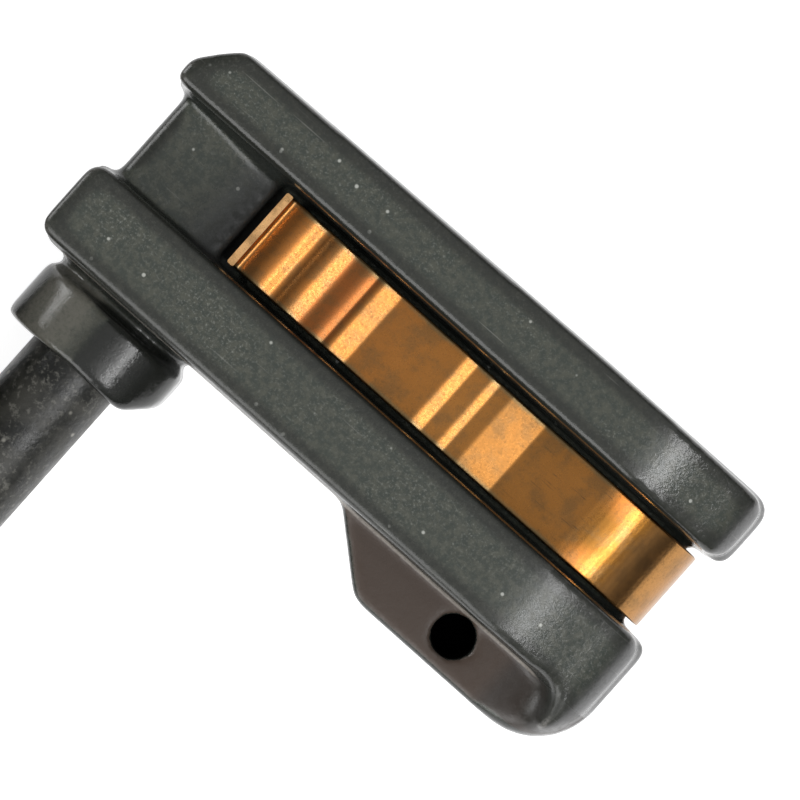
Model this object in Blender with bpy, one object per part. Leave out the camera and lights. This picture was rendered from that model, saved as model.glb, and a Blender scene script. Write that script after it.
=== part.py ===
"""Brake pad wear sensor: a moulded head with a leaf spring in its channel, on a two-core lead with a plug.

The head lies on its flat back. +X runs from its tail to its nose, +Y from the lead's side to the far rail,
+Z up to the face with the spring. The origin is under the middle of the head.
"""
import math

import bmesh
import bpy
from mathutils import Vector

MM = 0.001

# Clearance between any two separate pieces.
seat_gap = 0.3 * MM
# How far shapes that are joined into one moulding reach into each other.
overlap = 0.4 * MM
# Rounding of the small parts' edges.
fine_edge = 0.13 * MM

# Head: overall sizes.
head_length = 32.5 * MM
head_height = 10.0 * MM
parting_height = 6.4 * MM
ledge = 0.13 * MM
tail_ledge = 0.065 * MM
near_rail_width = 4.07 * MM
channel_width = 4.78 * MM
far_rail_width = 3.4 * MM
boss_reach = 3.67 * MM
edge_radius = 0.36 * MM
corner_radius = 0.7 * MM
draft = 0.1 * MM

# Head: nose.
nose_lip = 0.28 * MM
nose_bend = 7.5 * MM
nose_corner_radius = 0.9 * MM
nose_mouth = 1.26 * MM

# Head: tail.
tail_recess = 0.85 * MM
tail_floor_height = 7.5 * MM
tail_floor_length = 5.85 * MM
floor_dip = 0.15 * MM
floor_dip_length = 1.8 * MM
floor_edge_radius = 0.5 * MM
cove_radii = (0.25 * MM, 1.25 * MM)
far_tail_setback = 0.17 * MM
far_tail_chamfer = (1.55 * MM, 1.9 * MM)
far_taper = 0.35 * MM
far_taper_length = 22.3 * MM

# Head: ear with its hole.
ear_reach = 2.88 * MM
ear_length = 14.55 * MM
ear_slant = 3.3 * MM
ear_corner_radius = 1.3 * MM
ear_nose_radius = 3.2 * MM
end_wall_thickness = 1.35 * MM
scoop_radius = 1.5 * MM
scoop_rise = 1.6 * MM
end_wall_tip_radius = 0.35 * MM
hole_diameter = 2.04 * MM
hole_depth = 4.6 * MM
hole_from_nose = 6.87 * MM
hole_from_ledge = 1.17 * MM

# Lead and the boss that it leaves the head through.
lead_diameter = 4.6 * MM
lead_height = 3.1 * MM
lead_from_tail = 4.98 * MM
lead_engagement = 2.4 * MM
boss_width = 7.96 * MM
boss_height = 6.3 * MM
boss_spring_height = 3.2 * MM
boss_edge_radius = 0.6 * MM
boss_chamfer = 1.15 * MM
boss_gap = 0.62 * MM
boss_root_height = 5.4 * MM
boss_root_inset = 0.45 * MM

# Spring strip: thickness, side gap and the pressed form, given along its middle line from the tail.
strip_thickness = 0.35 * MM
strip_side_gap = 0.36 * MM
strip_lip = 0.95 * MM
strip_flat_height = 6.2 * MM
strip_start = 7.27 * MM
wave_lengths = (1.43 * MM, 0.95 * MM, 0.67 * MM, 0.98 * MM)
wave_drops = (-0.36 * MM, 0.33 * MM, -0.22 * MM, 0.3 * MM)
crimp_lengths = (0.84 * MM, 0.49 * MM, 0.3 * MM)
crimp_drops = (-0.06 * MM, 0.08 * MM, -0.08 * MM)
first_step = (1.02 * MM, 0.3 * MM)
first_flat = 3.89 * MM
second_step = (0.62 * MM, 0.17 * MM)
second_flat = 0.89 * MM
third_step = (0.44 * MM, 0.14 * MM)
third_flat = 0.75 * MM
slope = (1.99 * MM, 0.37 * MM)
nose_flat_rise = 0.22 * MM
strip_wrap_length = 5.05 * MM
strip_wrap_drop = 4.1 * MM
strip_nose_setback = 0.98 * MM
strip_hook_length = 2.4 * MM
strip_hook_height = 0.87 * MM
bend_radius = 0.45 * MM
soft_bend_radius = 0.7 * MM

# Wires in the head.
core_diameter = 1.2 * MM
loop_wire_diameter = 0.9 * MM
core_spread = 1.7 * MM
groove_width = 2.4 * MM
groove_roof = 2.4 * MM
groove_end = 3.7 * MM
groove_start = 3.55 * MM
potting_depth = 1.2 * MM
splice_diameter = 1.6 * MM
splice_length = 3.5 * MM
splice_bore = 0.5 * MM
splice_waist_depth = 0.16 * MM
splice_waist_slope = 0.3 * MM
core_bend = 1.5 * MM
splice_a_from_tail = 11.5 * MM
splice_stagger = 5.1 * MM
loop_bend = 1.1 * MM
loop_reach = 4.0 * MM

# Lead route: from the boss straight to a coil for storage, and on to the plug.
coil_outer_turn = 25.3 * MM
turn_pitch = 4.65 * MM
coil_centre_y = -29.5 * MM
tie_thickness = 0.5 * MM
tie_width = 2.6 * MM
tie_angle = math.radians(-118)
tie_head = (2.2 * MM, 3.6 * MM, 3.6 * MM)
tail_descent = 0.91

# Plug: sizes along its axis start at the rear of its boot.
plug_from_coil = 17.5 * MM
plug_axis_height = 5.5 * MM
boot_length = 9.7 * MM
boot_rear_radius = 3.1 * MM
boot_front_radius = 4.9 * MM
boot_rings = 3
boot_ring_pitch = 1.94 * MM
boot_ring_width = 1.16 * MM
boot_ring_depth = 0.35 * MM
boot_taper_length = 7.3 * MM
boot_collar = 2.7 * MM
boot_grip = 5.0 * MM
barrel_radius = 5.5 * MM
barrel_wall = 1.1 * MM
barrel_length = 10.0 * MM
barrel_bore_depth = 6.6 * MM
wire_seal_length = 3.0 * MM
flange_length = 1.4 * MM
flange_size = (13.0 * MM, 11.0 * MM)
nose_size = (10.4 * MM, 7.6 * MM)
plug_nose_length = 11.0 * MM
plug_corner = 1.4 * MM
cavity_size = (2.5 * MM, 2.9 * MM)
cavity_pitch = 3.6 * MM
terminal_length = 7.0 * MM
terminal_crimp_length = 3.2 * MM
terminal_crimp_diameter = 1.6 * MM
terminal_slot = 1.1 * MM
lock_thickness = 1.2 * MM
lock_rim = 0.75 * MM
seal_length = 2.4 * MM
seal_thickness = 0.54 * MM
seal_lip_height = 0.36 * MM
rib_depth = 0.65 * MM
rib_thickness = 0.8 * MM
latch_width = 4.2 * MM
latch_thickness = 1.0 * MM
latch_length = 14.5 * MM
latch_root = 1.8 * MM
latch_catch = 0.8 * MM
latch_catch_length = 0.3 * MM
latch_catch_place = 6.1 * MM
latch_pad_length = 2.3 * MM

# Places that follow from the sizes above.
tail_x = -head_length / 2
nose_x = head_length / 2
head_width = boss_reach + near_rail_width + channel_width + far_rail_width + 2 * ledge
far_side_y = head_width / 2
far_outer_y = far_side_y - ledge
far_inner_y = far_outer_y - far_rail_width
near_inner_y = far_inner_y - channel_width
near_outer_y = near_inner_y - near_rail_width
near_ledge_y = near_outer_y - ledge
ear_edge_y = near_ledge_y - ear_reach
boss_end_y = near_ledge_y - boss_reach
near_rail_y = (near_inner_y + near_outer_y) / 2
channel_y = (near_inner_y + far_inner_y) / 2
rail_nose_x = nose_x - nose_lip
bend_x = rail_nose_x - nose_bend
far_tail_x = tail_x + far_tail_setback
tail_floor_x = tail_x + tail_recess
pocket_x = tail_floor_x + tail_floor_length
lead_x = tail_x + lead_from_tail
lead_radius = lead_diameter / 2
jacket_end_y = boss_end_y + lead_engagement
strip_width = channel_width - 2 * strip_side_gap
# How far cutters run past the faces that they cut.
cut_reach = 3 * MM

for leftover in list(bpy.data.objects):
    bpy.data.objects.remove(leftover, do_unlink=True)


def finish(name, color, roughness, metallic=0.0):
    """A plain Principled material."""
    material = bpy.data.materials.new(name)
    material.use_nodes = True
    shader = material.node_tree.nodes["Principled BSDF"]
    shader.inputs["Base Color"].default_value = (*color, 1.0)
    shader.inputs["Roughness"].default_value = roughness
    shader.inputs["Metallic"].default_value = metallic
    return material


black_moulding = finish("black_moulding", (0.045, 0.05, 0.045), 0.55)
bronze = finish("phosphor_bronze", (0.72, 0.36, 0.15), 0.28, 1.0)
sheath = finish("lead_sheath", (0.035, 0.035, 0.038), 0.5)
tinned_copper = finish("tinned_copper", (0.7, 0.68, 0.64), 0.3, 1.0)
resin = finish("potting_resin", (0.03, 0.03, 0.03), 0.35)
white_insulation = finish("white_insulation", (0.75, 0.73, 0.68), 0.5)
blue_insulation = finish("blue_insulation", (0.05, 0.12, 0.4), 0.5)
seal_rubber = finish("seal_rubber", (0.35, 0.09, 0.05), 0.6)
boot_rubber = finish("boot_rubber", (0.03, 0.03, 0.03), 0.65)
plug_plastic = finish("plug_plastic", (0.05, 0.05, 0.055), 0.45)
lock_plastic = finish("lock_plastic", (0.5, 0.5, 0.48), 0.5)
tie_plastic = finish("tie_plastic", (0.6, 0.6, 0.57), 0.5)


def arc(centre, radii, start, end, steps):
    """Points on an ellipse's arc, angles in degrees."""
    angles = [math.radians(start + (end - start) * i / steps) for i in range(steps + 1)]
    return [(centre[0] + radii[0] * math.cos(a), centre[1] + radii[1] * math.sin(a)) for a in angles]


def rounded(corners, steps=5, closed=True, share=0.49):
    """An outline through (x, y, radius) corners, with an arc at each corner that has a radius.

    No arc takes more than the given share of a side.
    """
    outline = []
    count = len(corners)
    for i, (x, y, radius) in enumerate(corners):
        here = Vector((x, y))
        inner = closed or 0 < i < count - 1
        if not inner or radius <= 0:
            outline.append((x, y))
            continue
        to_before = Vector(corners[i - 1][:2]) - here
        to_after = Vector(corners[(i + 1) % count][:2]) - here
        half = to_before.angle(to_after) / 2
        reach = min(radius / math.tan(half), share * to_before.length, share * to_after.length)
        radius = reach * math.tan(half)
        bisector = (to_before.normalized() + to_after.normalized()).normalized()
        middle = here + bisector * (radius / math.sin(half))
        first = here + to_before.normalized() * reach - middle
        turn = math.pi - 2 * half
        side = 1 if to_before.cross(to_after) < 0 else -1
        for k in range(steps + 1):
            a = side * turn * k / steps
            spoke = Vector((first.x * math.cos(a) - first.y * math.sin(a),
                            first.x * math.sin(a) + first.y * math.cos(a)))
            outline.append(tuple(middle + spoke))
    return outline


def new_object(name, mesh, material):
    piece = bpy.data.objects.new(name, mesh)
    bpy.context.collection.objects.link(piece)
    if material:
        mesh.materials.append(material)
    return piece


def prism(name, outline, axis, low, high, material=None, narrow=0.0, middle=0.0):
    """The outline pushed along an axis: X takes (y, z) points, Y takes (x, z), Z takes (x, y).

    Along Z the top may be narrowed in Y, on both sides of a middle line.
    """
    place = {
        "X": lambda a, b, c: (c, a, b),
        "Y": lambda a, b, c: (a, c, b),
        "Z": lambda a, b, c: (a, b, c),
    }[axis]
    mesh = bpy.data.meshes.new(name)
    bm = bmesh.new()
    ring = [bm.verts.new(place(a, b, low)) for a, b in outline]
    face = bm.faces.new(ring)
    pushed = bmesh.ops.extrude_face_region(bm, geom=[face])
    top = [v for v in pushed["geom"] if isinstance(v, bmesh.types.BMVert)]
    bmesh.ops.translate(bm, verts=top, vec=Vector(place(0, 0, high - low)))
    for vert in top:
        vert.co.y += narrow if vert.co.y < middle else -narrow
    bmesh.ops.recalc_face_normals(bm, faces=bm.faces)
    bm.to_mesh(mesh)
    bm.free()
    return new_object(name, mesh, material)


def loft(name, rings):
    """A solid through rings of points, flat at both ends."""
    mesh = bpy.data.meshes.new(name)
    bm = bmesh.new()
    rows = [[bm.verts.new(point) for point in ring] for ring in rings]
    count = len(rings[0])
    for here, after in zip(rows, rows[1:]):
        for i in range(count):
            j = (i + 1) % count
            bm.faces.new((here[i], here[j], after[j], after[i]))
    bm.faces.new(rows[0])
    bm.faces.new(rows[-1])
    bmesh.ops.recalc_face_normals(bm, faces=bm.faces)
    bm.to_mesh(mesh)
    bm.free()
    return new_object(name, mesh, None)


def block(name, x, y, z, material=None):
    """A box between two x, two y and two z values."""
    return prism(name, [(x[0], y[0]), (x[1], y[0]), (x[1], y[1]), (x[0], y[1])], "Z", z[0], z[1], material)


def turned(name, section, steps, material, centre=(0, 0, 0), axis="Z", closed=False):
    """A section of (radius, along) points turned about an axis.

    A closed section makes a ring; an open one makes a solid with a flat face at each end.
    """
    mesh = bpy.data.meshes.new(name)
    bm = bmesh.new()
    rows = []
    for k in range(steps):
        a = 2 * math.pi * k / steps
        row = []
        for radius, along in section:
            if axis == "Z":
                place = (radius * math.cos(a), radius * math.sin(a), along)
            else:
                place = (radius * math.cos(a), along, radius * math.sin(a))
            row.append(bm.verts.new(place))
        rows.append(row)
    count = len(section)
    for k in range(steps):
        here, after = rows[k], rows[(k + 1) % steps]
        for i in range(count if closed else count - 1):
            j = (i + 1) % count
            bm.faces.new((here[i], here[j], after[j], after[i]))
    if not closed:
        bm.faces.new([row[0] for row in rows])
        bm.faces.new([row[-1] for row in rows])
    bmesh.ops.recalc_face_normals(bm, faces=bm.faces)
    bm.to_mesh(mesh)
    bm.free()
    piece = new_object(name, mesh, material)
    piece.location = centre
    smooth(piece)
    return piece


def cylinder(name, radius, axis, centre, low, high, steps=32, material=None):
    """A round bar along an axis; the centre gives the other two coordinates."""
    outline = arc(centre, (radius, radius), 0, 360 * (steps - 1) / steps, steps - 1)
    return prism(name, outline, axis, low, high, material)


def smooth(piece, angle=35):
    piece.data.shade_smooth()
    piece.data.set_sharp_from_angle(angle=math.radians(angle))


def soften(piece, width, segments=3, angle=30):
    """Rounds the piece's sharp edges."""
    bevel = piece.modifiers.new("edges", "BEVEL")
    bevel.width = width
    bevel.segments = segments
    bevel.limit_method = "ANGLE"
    bevel.angle_limit = math.radians(angle)
    return piece


def combine(piece, tool, operation):
    """A boolean with a tool object, which stays in the file as a hidden guide."""
    boolean = piece.modifiers.new(tool.name, "BOOLEAN")
    boolean.operation = operation
    boolean.object = tool
    tool.hide_render = True
    tool.display_type = "WIRE"


def cut(piece, *tools):
    for tool in tools:
        combine(piece, tool, "DIFFERENCE")


def add(piece, *tools):
    for tool in tools:
        combine(piece, tool, "UNION")


def smooth_path(points, spacing):
    """Points on a smooth curve through the given points, about one spacing apart."""
    knots = [Vector(p) for p in points]
    knots = [2 * knots[0] - knots[1]] + knots + [2 * knots[-1] - knots[-2]]
    path = [knots[1]]
    for i in range(1, len(knots) - 2):
        a, b, c, d = knots[i - 1:i + 3]
        steps = max(1, round((c - b).length / spacing))
        for k in range(1, steps + 1):
            t = k / steps
            path.append(0.5 * (2 * b + (c - a) * t + (2 * a - 5 * b + 4 * c - d) * t ** 2
                               + (3 * b - a - 3 * c + d) * t ** 3))
    return path


def tube(name, points, diameter, spacing, material, resolution=2):
    """A round wire or cable along a smooth curve, with closed ends."""
    path = smooth_path(points, spacing)
    curve = bpy.data.curves.new(name, "CURVE")
    curve.dimensions = "3D"
    curve.bevel_depth = diameter / 2
    curve.bevel_resolution = resolution
    curve.use_fill_caps = True
    curve.materials.append(material)
    spline = curve.splines.new("POLY")
    spline.points.add(len(path) - 1)
    for point, place in zip(spline.points, path):
        point.co = (*place, 1.0)
    piece = bpy.data.objects.new(name, curve)
    bpy.context.collection.objects.link(piece)
    return piece


# The strip's middle line, from the tip of its upturned tail end to the end of its hook.
def strip_line():
    x = tail_x + strip_start
    flat_z = strip_flat_height
    z = flat_z + first_step[1] + sum(wave_drops) + sum(crimp_drops)
    corners = [(x, z + strip_lip, 0), (x, z, bend_radius)]
    pressed = list(zip(wave_lengths, wave_drops)) + list(zip(crimp_lengths, crimp_drops))
    pressed += [first_step, (first_flat, 0), second_step, (second_flat, 0), third_step]
    pressed += [(third_flat, 0), slope]
    for length, drop in pressed:
        x += length
        z -= drop
        corners.append((x, z, bend_radius if length < first_step[0] else soft_bend_radius))
    wrap_x = nose_x - strip_nose_setback - strip_wrap_length
    wrap_z = z + nose_flat_rise
    corners.append((wrap_x, wrap_z, 0))
    line = rounded(corners, steps=4, closed=False)
    wrap = arc((wrap_x, wrap_z - strip_wrap_drop), (strip_wrap_length, strip_wrap_drop), 90, 0, 12)
    end_x, end_z = wrap[-1]
    hook = rounded([(end_x, end_z, 0), (end_x, strip_hook_height, soft_bend_radius),
                    (end_x - strip_hook_length, strip_hook_height, 0)], steps=6, closed=False)
    return line + wrap[1:] + hook[1:]


def thickened(line, thickness):
    """The closed outline of a sheet with the given middle line."""
    sides = [[], []]
    for i, point in enumerate(line):
        before = Vector(line[max(i - 1, 0)])
        after = Vector(line[min(i + 1, len(line) - 1)])
        along = (after - before).normalized()
        across = Vector((-along.y, along.x)) * thickness / 2
        sides[0].append(tuple(Vector(point) + across))
        sides[1].append(tuple(Vector(point) - across))
    return sides[0] + sides[1][::-1]


strip_middle = strip_line()
strip_low = min(z for x, z in strip_middle if x < bend_x) - strip_thickness / 2
strip_tail_low = min(z for x, z in strip_middle if x < pocket_x + wave_lengths[0]) - strip_thickness / 2
wrap_centre = (nose_x - strip_nose_setback - strip_wrap_length,
               max(z for x, z in strip_middle if bend_x < x) - strip_wrap_drop)


# The head's lower half: its outline seen from above, with the ear.
def lower_outline(inset=0.0):
    far_tail_y = far_side_y - far_taper
    return rounded([
        (tail_x + inset, near_ledge_y + inset, corner_radius),
        (nose_x - ear_length, near_ledge_y + inset, 0),
        (nose_x - ear_length + ear_slant, ear_edge_y + inset, ear_corner_radius),
        (nose_x - inset, ear_edge_y + inset, ear_nose_radius),
        (nose_x - inset, near_inner_y, nose_corner_radius),
        (nose_x - nose_mouth, near_inner_y, 0),
        (nose_x - nose_mouth, far_inner_y, 0),
        (nose_x - inset, far_inner_y, nose_corner_radius),
        (nose_x - inset, far_side_y - inset, nose_corner_radius),
        (far_tail_x + far_taper_length, far_side_y - inset, 0),
        (far_tail_x + far_tail_chamfer[0], far_tail_y - inset, 0),
        (far_tail_x + inset, far_tail_y - far_tail_chamfer[1], 0),
        (far_tail_x + inset, far_inner_y, 0),
        (tail_floor_x, far_inner_y, 0),
        (tail_floor_x, near_inner_y, 0),
        (tail_x + inset, near_inner_y, 0),
    ], steps=8)


# The side view that both rails share: flat on top, and bent down to the nose in a quarter ellipse.
def rail_profile():
    bend_end = rail_nose_x + ledge
    bend = arc((bend_x, parting_height), (bend_end - bend_x, head_height - parting_height), 90, 0, 16)
    root = parting_height - overlap
    return [(tail_x - cut_reach, root), (bend_end, root)] + bend[::-1] + [(tail_x - cut_reach, head_height)]


def near_rail():
    wall_x = rail_nose_x - end_wall_thickness
    tail = tail_x + tail_ledge
    ear_round = ear_nose_radius - nose_lip
    ear_centre = (nose_x - ear_nose_radius, ear_edge_y + ear_nose_radius)
    tip = math.acos((wall_x - ear_centre[0]) / ear_round)
    outline = rounded([
        (wall_x, near_outer_y, scoop_radius),
        (wall_x, ear_centre[1] - ear_round * math.sin(tip), end_wall_tip_radius),
        *[(x, y, 0) for x, y in arc(ear_centre, (ear_round, ear_round), -math.degrees(tip), 0, 4)[1:]],
        (rail_nose_x, near_inner_y, nose_corner_radius),
        (tail, near_inner_y, corner_radius),
        (tail, near_outer_y, corner_radius),
    ], steps=8)
    root = parting_height - overlap
    rail = prism("near_rail_guide", outline, "Z", root, head_height + cut_reach, None, draft, near_rail_y)
    side = prism("near_rail_side_view", rail_profile(), "Y", ear_edge_y - cut_reach, near_inner_y + cut_reach)
    combine(rail, side, "INTERSECT")
    return soften(rail, edge_radius)


def far_rail():
    far_tail_y = far_outer_y - far_taper
    tail = far_tail_x + tail_ledge
    outline = rounded([
        (tail, far_inner_y, corner_radius / 2),
        (rail_nose_x, far_inner_y, nose_corner_radius),
        (rail_nose_x, far_outer_y, nose_corner_radius),
        (tail + far_taper_length, far_outer_y, 0),
        (tail + far_tail_chamfer[0], far_tail_y, corner_radius),
        (tail, far_tail_y - far_tail_chamfer[1], corner_radius),
    ], steps=8)
    middle = (far_inner_y + far_outer_y) / 2
    root = parting_height - overlap
    rail = prism("far_rail_guide", outline, "Z", root, head_height + cut_reach, None, draft, middle)
    side = prism("far_rail_side_view", rail_profile(), "Y", far_inner_y - cut_reach, far_side_y + cut_reach)
    combine(rail, side, "INTERSECT")
    return soften(rail, edge_radius)


def ear_scoop():
    """The hollow fillet that sweeps the ear's face up into the wall at its nose end."""
    wall_x = rail_nose_x - end_wall_thickness
    top = parting_height + scoop_rise
    root = parting_height - overlap
    section = arc((wall_x - scoop_rise, top), (scoop_rise, scoop_rise), -90, 0, 8)
    section += [(wall_x + overlap, top), (wall_x + overlap, root), (wall_x - scoop_rise, root)]
    sweep = prism("ear_scoop_guide", section, "Y", ear_edge_y - cut_reach, near_outer_y + overlap)
    edge = prism("ear_scoop_edge", lower_outline(2 * ledge), "Z", root - cut_reach, head_height)
    combine(sweep, edge, "INTERSECT")
    return sweep


def floor_line():
    """The tail floor's top as (x, z) points, from its dip before the strip to its rounded edge at the tail."""
    dip_z = tail_floor_height - floor_dip
    front = tail_floor_x + tail_ledge
    return rounded([
        (pocket_x + cut_reach, dip_z, 0),
        (pocket_x, dip_z, floor_dip_length / 2),
        (pocket_x - floor_dip_length, tail_floor_height, floor_dip_length / 2),
        (front, tail_floor_height, floor_edge_radius),
        (front, parting_height - overlap, 0),
    ], closed=False)


def tail_floor():
    """The raised floor between the rails at the tail."""
    outline = floor_line() + [(pocket_x + cut_reach, parting_height - overlap)]
    return prism("tail_floor_guide", outline, "Y", near_inner_y - overlap, far_inner_y + overlap)


def floor_cove():
    """The hollow fillet between the tail floor and the far rail, which widens towards the strip."""
    first_x = tail_floor_x + tail_ledge + floor_edge_radius
    last_x = pocket_x + overlap
    line = [(first_x, tail_floor_height)] + [(x, z) for x, z in floor_line()[::-1] if first_x < x < last_x]
    rings = []
    for x, z in line:
        share = (x - first_x) / (pocket_x - first_x)
        radius = cove_radii[0] + share * (cove_radii[1] - cove_radii[0])
        section = arc((far_inner_y - radius, z + radius), (radius, radius), -90, 0, 6)
        section += [(far_inner_y + overlap, z + radius), (far_inner_y + overlap, z - overlap)]
        section += [(far_inner_y - radius, z - overlap)]
        rings.append([(x, y, height) for y, height in section])
    return loft("cove_guide", rings)


def channel():
    """What the channel takes out between the rails: the strip's pocket, the nose and the hook's notch."""
    high = head_height + 2 * cut_reach
    floor_z = strip_low - seat_gap
    step_z = strip_tail_low - seat_gap
    step_x = tail_x + strip_start + wave_lengths[0] / 2
    offset = strip_thickness / 2 + seat_gap
    bridge = arc(wrap_centre, (strip_wrap_length - offset, strip_wrap_drop - offset), 90, 0, 10)
    bridge_x, bridge_z = bridge[0]
    ramp_x = bridge_x - overlap
    notch_z = strip_hook_height + offset
    notch_x = bridge[-1][0] - strip_hook_length
    outline = [(pocket_x, high), (pocket_x, step_z), (step_x, step_z), (step_x + ledge, floor_z)]
    outline += [(ramp_x - 2 * (bridge_z - floor_z), floor_z), (ramp_x, bridge_z)]
    outline += bridge
    outline += [(bridge[-1][0], notch_z), (notch_x, notch_z), (notch_x, -cut_reach)]
    outline += [(nose_x + cut_reach, -cut_reach), (nose_x + cut_reach, high)]
    return prism("channel_cutter", outline, "Y", near_inner_y, far_inner_y)


def dome(name, half, height, low, y):
    """A half-round block over the lead, with straight sides up to the springing of its dome."""
    top = arc((lead_x, boss_spring_height), (half, height - boss_spring_height), 0, 180, 18)
    return prism(name, [(lead_x - half, low), (lead_x + half, low)] + top, "Y", *y)


def boss():
    """The half-round boss over the lead, set a little off the rail and standing on a lower root."""
    half = boss_width / 2
    back_y = near_ledge_y - boss_gap
    side_x = lead_x + half
    shape = dome("boss_guide", half, boss_height, 0, (boss_end_y, back_y))
    corner = [(side_x - boss_chamfer, boss_end_y), (side_x - boss_chamfer, boss_end_y - cut_reach),
              (side_x + cut_reach, boss_end_y - cut_reach), (side_x + cut_reach, boss_end_y + boss_chamfer),
              (side_x, boss_end_y + boss_chamfer)]
    cut(shape, prism("boss_corner_cutter", corner, "Z", -cut_reach, boss_height + cut_reach))
    soften(shape, boss_edge_radius)
    root = dome("boss_root_guide", half - boss_root_inset, boss_root_height, ledge,
                (back_y - boss_edge_radius - ledge, near_ledge_y + overlap))
    return shape, root


groove_y = (near_rail_y - groove_width / 2, near_rail_y + groove_width / 2)
groove_x = (tail_x + groove_start, nose_x - groove_end)


def head_moulding():
    head = prism("head_moulding", lower_outline(), "Z", 0, parting_height, black_moulding)
    soften(head, ledge, segments=2)
    add(head, near_rail(), far_rail(), ear_scoop(), tail_floor(), floor_cove(), *boss())
    hole = (nose_x - hole_from_nose, near_ledge_y - hole_from_ledge)
    bore_radius = lead_radius + seat_gap
    window = (lead_x - lead_radius + core_diameter / 2, lead_x + lead_radius - core_diameter / 2)
    window_half = (core_spread + core_diameter) / 2 + seat_gap
    cut(head, channel(),
        cylinder("ear_hole_cutter", hole_diameter / 2, "Z", hole, parting_height - hole_depth,
                 parting_height + cut_reach),
        cylinder("lead_bore_cutter", bore_radius, "Y", (lead_x, lead_height), boss_end_y - cut_reach,
                 jacket_end_y + seat_gap),
        block("wire_window_cutter", window, (jacket_end_y, near_rail_y),
              (lead_height - window_half, lead_height + window_half)),
        block("wire_groove_cutter", groove_x, groove_y, (-cut_reach, head_height - groove_roof)))
    smooth(head)
    return head


head_moulding()


def spring_strip():
    outline = thickened(strip_middle, strip_thickness)
    edges = (channel_y - strip_width / 2, channel_y + strip_width / 2)
    strip = prism("spring_strip", outline, "Y", *edges, bronze)
    smooth(strip)


spring_strip()


# The wires in the groove: two cores from the lead, a crimp on each, and the thin loop under the nose.
core_heights = (lead_height + core_spread / 2, lead_height - core_spread / 2)
splice_tails = (tail_x + splice_a_from_tail, tail_x + splice_a_from_tail + splice_stagger)


def head_core(name, height, splice_x, material):
    """An insulated core: straight out of the sheath, round into the groove and up to its splice."""
    route = rounded([(lead_x, jacket_end_y + seat_gap, 0), (lead_x, near_rail_y, core_bend),
                     (splice_x - seat_gap, near_rail_y, 0)], closed=False)
    tube(name, [(x, y, height) for x, y in route], core_diameter, core_diameter, material)


def splice(name, height, tail):
    """A crimped sleeve: a short turned tube, waisted in the middle where the tool closed it."""
    radius = splice_diameter / 2
    bore = splice_bore / 2
    waist = radius - splice_waist_depth
    third = splice_length / 3
    section = [(bore, 0), (radius, 0), (radius, third), (waist, third + splice_waist_slope),
               (waist, 2 * third - splice_waist_slope), (radius, 2 * third), (radius, splice_length),
               (bore, splice_length)]
    ring = turned(name, section, 16, tinned_copper, closed=True)
    ring.rotation_euler = (0, math.radians(90), 0)
    ring.location = (tail, near_rail_y, height)


def sensing_loop():
    """The loop wire: out of the front of one splice, round under the nose and back to the other."""
    high, low = core_heights
    top = head_height - groove_roof - seat_gap - loop_wire_diameter / 2
    front = groove_x[1] - seat_gap - loop_wire_diameter
    first = splice_tails[0] + splice_length + seat_gap
    second = splice_tails[1] + splice_length + seat_gap
    under = top - 2 * loop_bend
    route = rounded([
        (first, high, 0),
        (first + loop_bend, high, loop_bend),
        (front - loop_reach, top, loop_bend),
        (front, top, loop_bend),
        (front, under, loop_bend),
        (front - loop_reach, under, loop_bend),
        (second + loop_bend, low, loop_bend),
        (second, low, 0),
    ], closed=False)
    path = [(x, near_rail_y, z) for x, z in route]
    tube("sensing_loop", path, loop_wire_diameter, loop_wire_diameter, white_insulation)


head_core("core_a", core_heights[0], splice_tails[0], white_insulation)
head_core("core_b", core_heights[1], splice_tails[1], blue_insulation)
splice("splice_a", core_heights[0], splice_tails[0])
splice("splice_b", core_heights[1], splice_tails[1])
sensing_loop()
potting = block("potting_fill", (groove_x[0] + seat_gap, groove_x[1] - seat_gap),
                (groove_y[0] + seat_gap, groove_y[1] - seat_gap), (ledge, ledge + potting_depth), resin)
soften(potting, fine_edge, 2)

# The coil: two turns wide and two layers high, lifted by the band of its tie.
coil_centre = (lead_x - coil_outer_turn, coil_centre_y)
coil_low = tie_thickness + seat_gap
coil_high = coil_low + lead_diameter + turn_pitch
coil_outer = coil_outer_turn + lead_radius
coil_inner = coil_outer_turn - turn_pitch - lead_radius
tangent_clear = math.sqrt((coil_outer + seat_gap) ** 2 - (coil_outer_turn - lead_radius) ** 2)
turn_heights = (coil_low + lead_radius, coil_high - lead_radius)
plug_x = coil_centre[0] - coil_outer_turn
plug_y = coil_centre_y + plug_from_coil
lead_turns_y = coil_centre_y + tangent_clear
jacket_plug_y = plug_y + boot_grip


def lead_run():
    """The lead from the boss to where it joins the coil's lower outer turn."""
    middle = (jacket_end_y + lead_turns_y) / 2
    points = [(lead_x, jacket_end_y, lead_height), (lead_x, boss_end_y, lead_height),
              (lead_x, middle, (lead_height + turn_heights[0]) / 2), (lead_x, lead_turns_y, turn_heights[0])]
    tube("lead_run", points, lead_diameter, 2 * lead_diameter, sheath, 4)


def coil_section(grow=0.0):
    """The outline round the coil's four turns as (radius, z) points."""
    low = coil_low - grow
    high = coil_high + grow
    return rounded([(coil_inner - grow, low, lead_radius), (coil_outer + grow, low, lead_radius),
                    (coil_outer + grow, high, lead_radius), (coil_inner - grow, high, lead_radius)], steps=4)


def lead_coil():
    turned("lead_coil", coil_section(), 56, sheath, (*coil_centre, 0), closed=True)


def lead_tail():
    """The lead from the coil's upper outer turn down to the plug's height and into its boot."""
    start_z = turn_heights[1] - tail_descent * (turn_heights[1] - plug_axis_height)
    points = [(plug_x, lead_turns_y, start_z), (plug_x, plug_y, plug_axis_height),
              (plug_x, jacket_plug_y, plug_axis_height)]
    tube("lead_tail", points, lead_diameter, lead_diameter, sheath, 4)


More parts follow.
